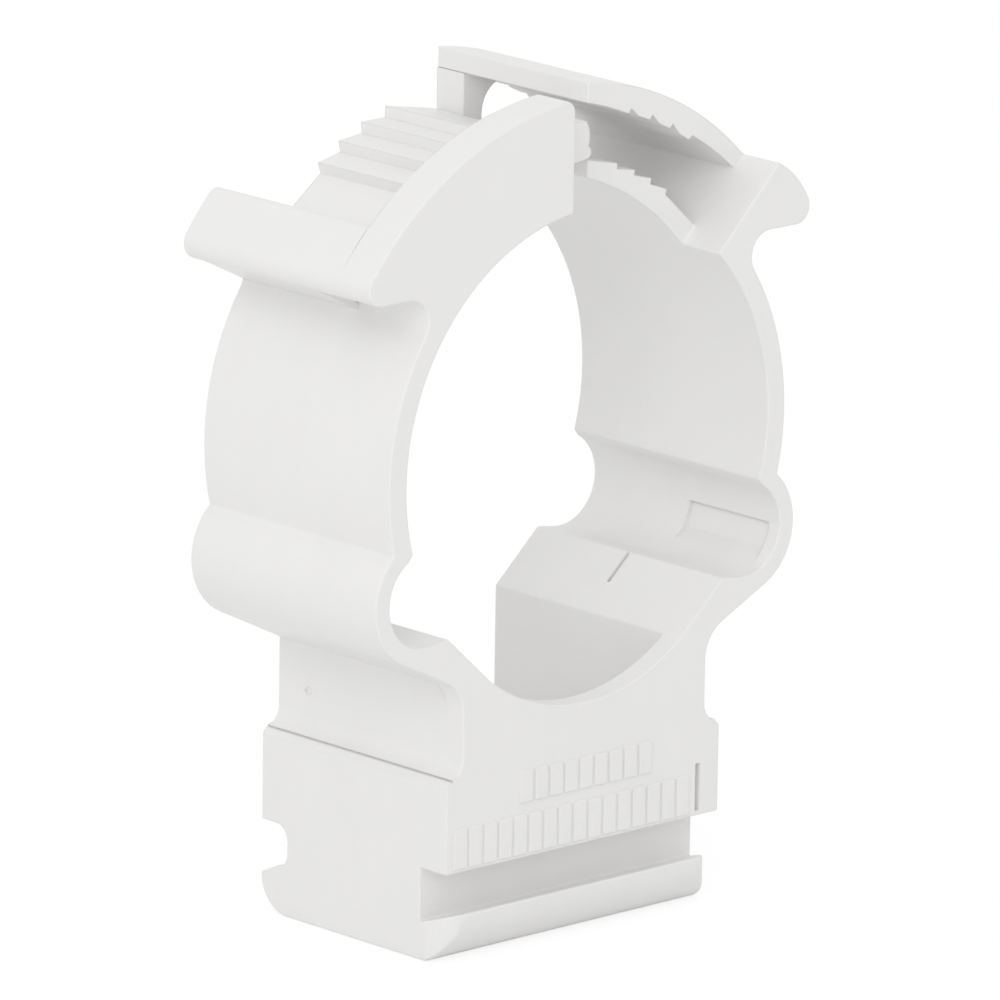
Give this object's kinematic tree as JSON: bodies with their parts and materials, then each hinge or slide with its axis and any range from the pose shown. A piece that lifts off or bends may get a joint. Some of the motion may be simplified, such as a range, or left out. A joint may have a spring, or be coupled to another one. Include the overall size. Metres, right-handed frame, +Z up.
{
  "type": "pipe clip",
  "caption": "Moulded plastic pipe clip whose two spring arms close over a pipe with a ratchet catch, on a rail foot with a screw hole.",
  "frame": {"origin": "middle of the foot's underside", "axes": "+X across the clip towards the arm with the toothed head, +Y along the pipe from the cheek's face to the open back, +Z up from the foot to the closure"},
  "size_m": [0.0438, 0.02, 0.0628],
  "materials": {
    "plastic": "satin"
  },
  "bodies": {
    "root": {"clip": "plastic"}
  },
  "joints": []
}
